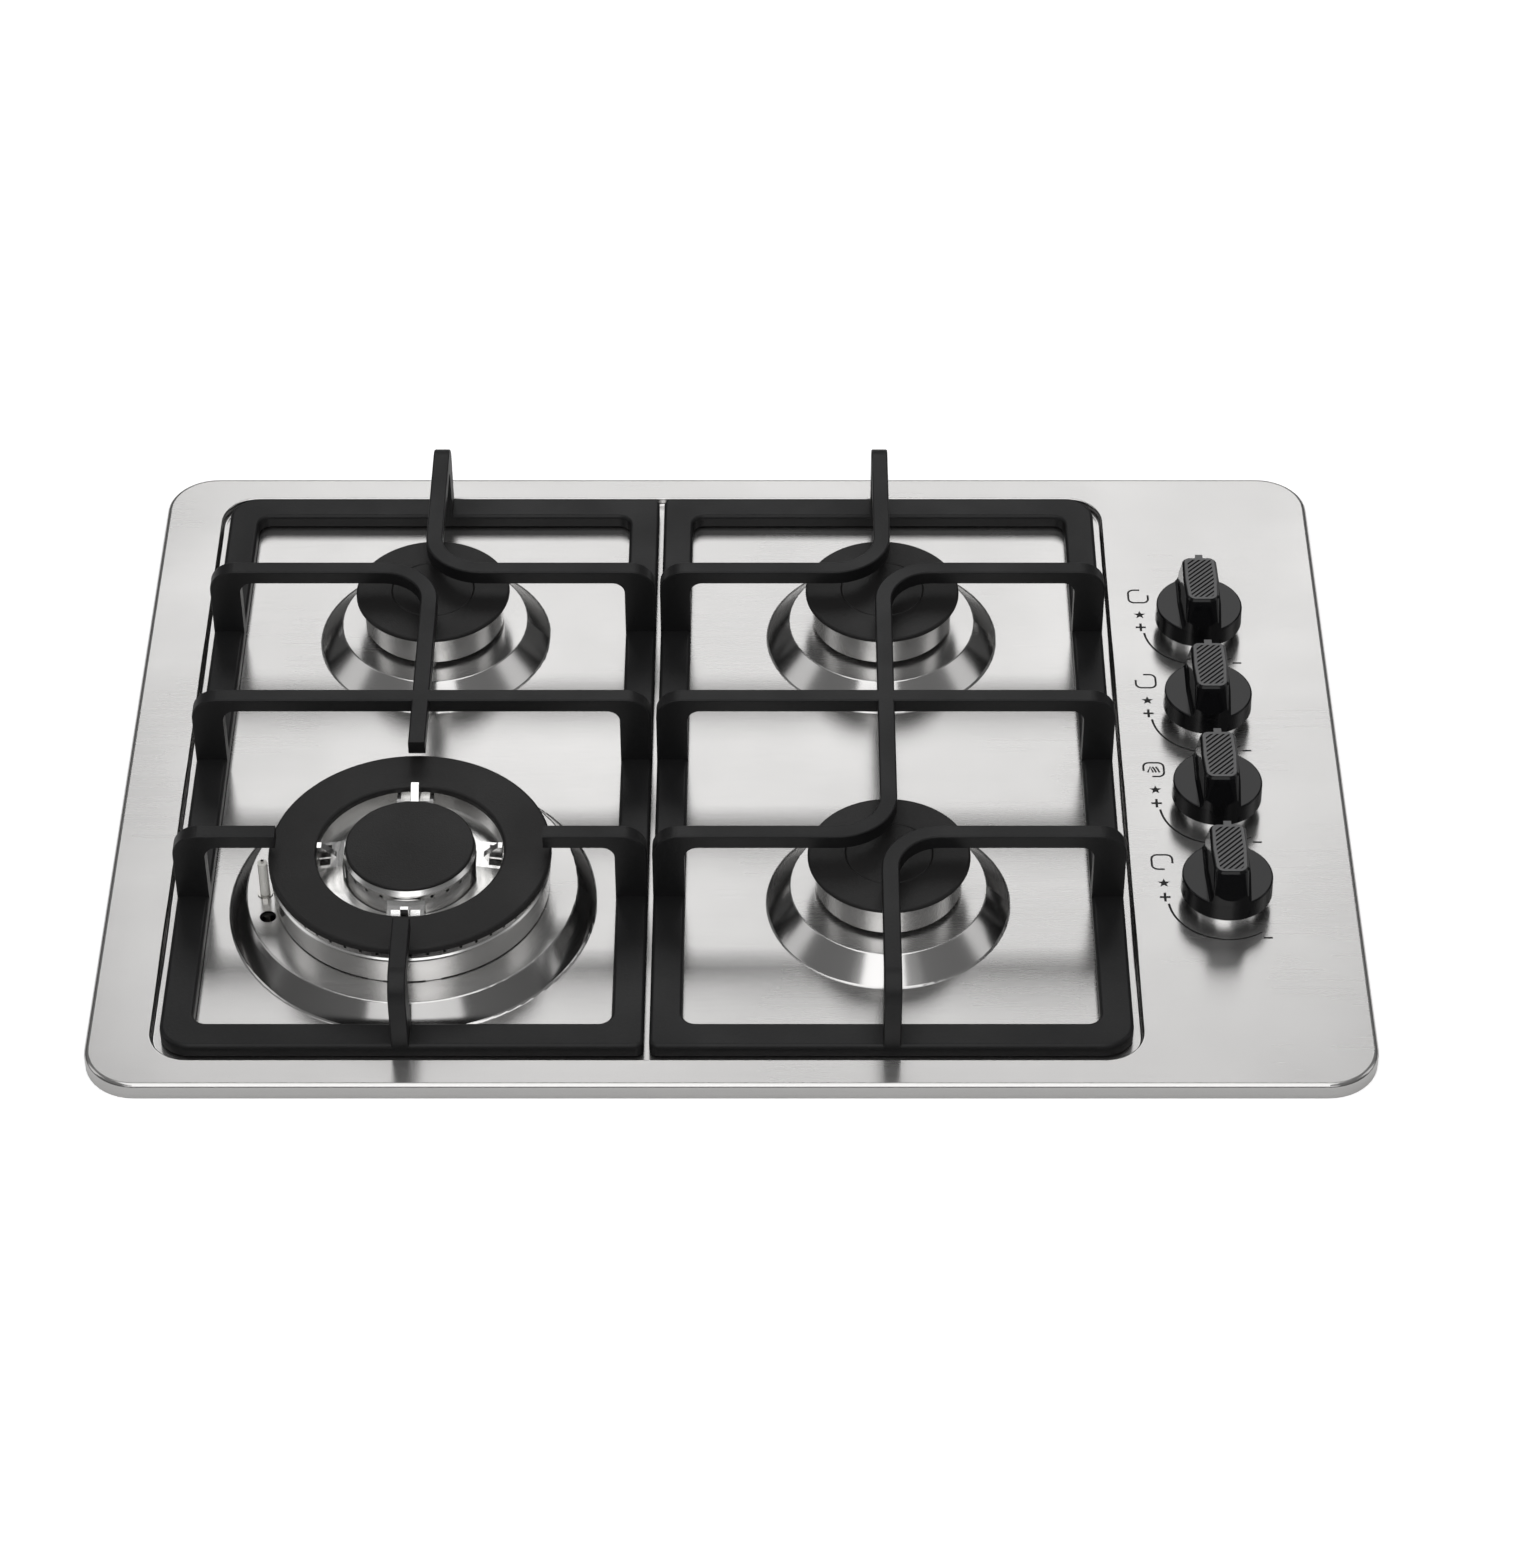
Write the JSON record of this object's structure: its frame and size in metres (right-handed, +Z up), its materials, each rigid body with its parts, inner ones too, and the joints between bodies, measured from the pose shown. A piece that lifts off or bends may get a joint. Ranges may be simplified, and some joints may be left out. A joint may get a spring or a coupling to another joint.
{
  "type": "built-in gas cooktop",
  "caption": "Built-in gas cooktop with a brushed steel top, lift-off cast grates, single burners, a triple-ring burner and push-to-turn knobs down its right side.",
  "frame": {"origin": "underside of the bottom tray, straight below the middle of the top plate", "axes": "+X to the right along the front edge, +Y to the rear, +Z up"},
  "size_m": [0.58, 0.43, 0.0898],
  "materials": {
    "stainless_plate": "brushed along the width, polished well walls",
    "galvanised": "satin galvanised sheet",
    "foam": "matt",
    "zinc_screw": "zinc plated",
    "cast_aluminium": "machined casting",
    "cap_enamel": "satin black enamel",
    "grate_iron": "satin black enamel on cast iron",
    "rubber_feet": "matt",
    "brass": "machined",
    "tap_alloy": "die cast",
    "steel_tube": "zinc plated",
    "ceramic": "glazed white",
    "spring_steel": "bright",
    "spindle_steel": "machined",
    "white_plastic": "matt",
    "black_plastic": "matt",
    "silicone": "matt",
    "wire_cover": "matt",
    "knob_black": "gloss black",
    "inlay_grey": "ribbed",
    "collar_chrome": "polished"
  },
  "bodies": {
    "hob": {"top_plate": "stainless_plate", "bottom_tray": "galvanised", "worktop_seal": "foam", "tray_screws": "zinc_screw", "cup_screws": "zinc_screw", "clamp_screws": "zinc_screw", "worktop_clamps": "galvanised", "burner_cups": "cast_aluminium", "burner_cup_triple": "cast_aluminium", "injectors": "brass", "igniter_insulators": "ceramic", "igniter_electrodes": "spring_steel", "igniter_clips": "spring_steel", "spark_generator": "white_plastic", "ignition_leads": "silicone", "ignition_switches": "black_plastic", "inner_wiring": "wire_cover", "terminal_box": "white_plastic", "cable_gland": "black_plastic", "gas_rail": "steel_tube", "gas_inlet_union": "brass", "tap_bodies": "tap_alloy", "tap_covers": "tap_alloy", "tap_screws": "zinc_screw", "gas_pipes": "tap_alloy", "knob_collars": "collar_chrome"},
    "left_grate": {"grate_left": "grate_iron", "grate_feet_left": "rubber_feet"},
    "right_grate": {"grate_right": "grate_iron", "grate_feet_right": "rubber_feet"},
    "spreader_rl": {"flame_spreader_rl": "cast_aluminium"},
    "cap_rl": {"burner_cap_rl": "cap_enamel"},
    "spreader_rr": {"flame_spreader_rr": "cast_aluminium"},
    "cap_rr": {"burner_cap_rr": "cap_enamel"},
    "spreader_fr": {"flame_spreader_fr": "cast_aluminium"},
    "cap_fr": {"burner_cap_fr": "cap_enamel"},
    "triple_body": {"triple_burner_body": "cast_aluminium", "triple_inner_ring": "cast_aluminium"},
    "triple_ring": {"triple_ring_cap": "cap_enamel"},
    "triple_centre": {"triple_centre_cap": "cap_enamel"},
    "plug_rr": {"tap_plug_rr": "brass"},
    "control_rr": {"knob_rr": "knob_black", "knob_inlay_rr": "inlay_grey", "spindle_rr": "spindle_steel", "tap_spring_rr": "spring_steel"},
    "plug_rl": {"tap_plug_rl": "brass"},
    "control_rl": {"knob_rl": "knob_black", "knob_inlay_rl": "inlay_grey", "spindle_rl": "spindle_steel", "tap_spring_rl": "spring_steel"},
    "plug_fl": {"tap_plug_fl": "brass"},
    "control_fl": {"knob_fl": "knob_black", "knob_inlay_fl": "inlay_grey", "spindle_fl": "spindle_steel", "tap_spring_fl": "spring_steel"},
    "plug_fr": {"tap_plug_fr": "brass"},
    "control_fr": {"knob_fr": "knob_black", "knob_inlay_fr": "inlay_grey", "spindle_fr": "spindle_steel", "tap_spring_fr": "spring_steel"}
  },
  "joints": [
    {"name": "left_grate_lift", "type": "slide", "parent": "hob", "child": "left_grate", "axis": [0, 0, 1], "range_m": [0, 0.06]},
    {"name": "right_grate_lift", "type": "slide", "parent": "hob", "child": "right_grate", "axis": [0, 0, 1], "range_m": [0, 0.06]},
    {"name": "spreader_rl_lift", "type": "slide", "parent": "hob", "child": "spreader_rl", "axis": [0, 0, 1], "range_m": [0, 0.003]},
    {"name": "cap_rl_lift", "type": "slide", "parent": "spreader_rl", "child": "cap_rl", "axis": [0, 0, 1], "range_m": [0, 0.0035]},
    {"name": "spreader_rr_lift", "type": "slide", "parent": "hob", "child": "spreader_rr", "axis": [0, 0, 1], "range_m": [0, 0.003]},
    {"name": "cap_rr_lift", "type": "slide", "parent": "spreader_rr", "child": "cap_rr", "axis": [0, 0, 1], "range_m": [0, 0.0035]},
    {"name": "spreader_fr_lift", "type": "slide", "parent": "hob", "child": "spreader_fr", "axis": [0, 0, 1], "range_m": [0, 0.003]},
    {"name": "cap_fr_lift", "type": "slide", "parent": "spreader_fr", "child": "cap_fr", "axis": [0, 0, 1], "range_m": [0, 0.0035]},
    {"name": "triple_body_lift", "type": "slide", "parent": "hob", "child": "triple_body", "axis": [0, 0, 1], "range_m": [0, 0.002]},
    {"name": "triple_ring_lift", "type": "slide", "parent": "triple_body", "child": "triple_ring", "axis": [0, 0, 1], "range_m": [0, 0.0024]},
    {"name": "triple_centre_lift", "type": "slide", "parent": "triple_body", "child": "triple_centre", "axis": [0, 0, 1], "range_m": [0, 0.02]},
    {"name": "tap_rr_turn", "type": "hinge", "parent": "hob", "child": "plug_rr", "pos_m": [0.2281, 0.096, 0.02], "axis": [0, 0, 1], "range_deg": [0, 215]},
    {"name": "knob_rr_press", "type": "slide", "parent": "plug_rr", "child": "control_rr", "axis": [0, 0, -1], "range_m": [0, 0.003], "stiffness_N_per_m": 500, "springref_m": -0.004, "deforming": ["tap_spring_rr"]},
    {"name": "tap_rl_turn", "type": "hinge", "parent": "hob", "child": "plug_rl", "pos_m": [0.2281, 0.032, 0.02], "axis": [0, 0, 1], "range_deg": [0, 215]},
    {"name": "knob_rl_press", "type": "slide", "parent": "plug_rl", "child": "control_rl", "axis": [0, 0, -1], "range_m": [0, 0.003], "stiffness_N_per_m": 500, "springref_m": -0.004, "deforming": ["tap_spring_rl"]},
    {"name": "tap_fl_turn", "type": "hinge", "parent": "hob", "child": "plug_fl", "pos_m": [0.2281, -0.032, 0.02], "axis": [0, 0, 1], "range_deg": [0, 215]},
    {"name": "knob_fl_press", "type": "slide", "parent": "plug_fl", "child": "control_fl", "axis": [0, 0, -1], "range_m": [0, 0.003], "stiffness_N_per_m": 500, "springref_m": -0.004, "deforming": ["tap_spring_fl"]},
    {"name": "tap_fr_turn", "type": "hinge", "parent": "hob", "child": "plug_fr", "pos_m": [0.2281, -0.096, 0.02], "axis": [0, 0, 1], "range_deg": [0, 215]},
    {"name": "knob_fr_press", "type": "slide", "parent": "plug_fr", "child": "control_fr", "axis": [0, 0, -1], "range_m": [0, 0.003], "stiffness_N_per_m": 500, "springref_m": -0.004, "deforming": ["tap_spring_fr"]}
  ]
}
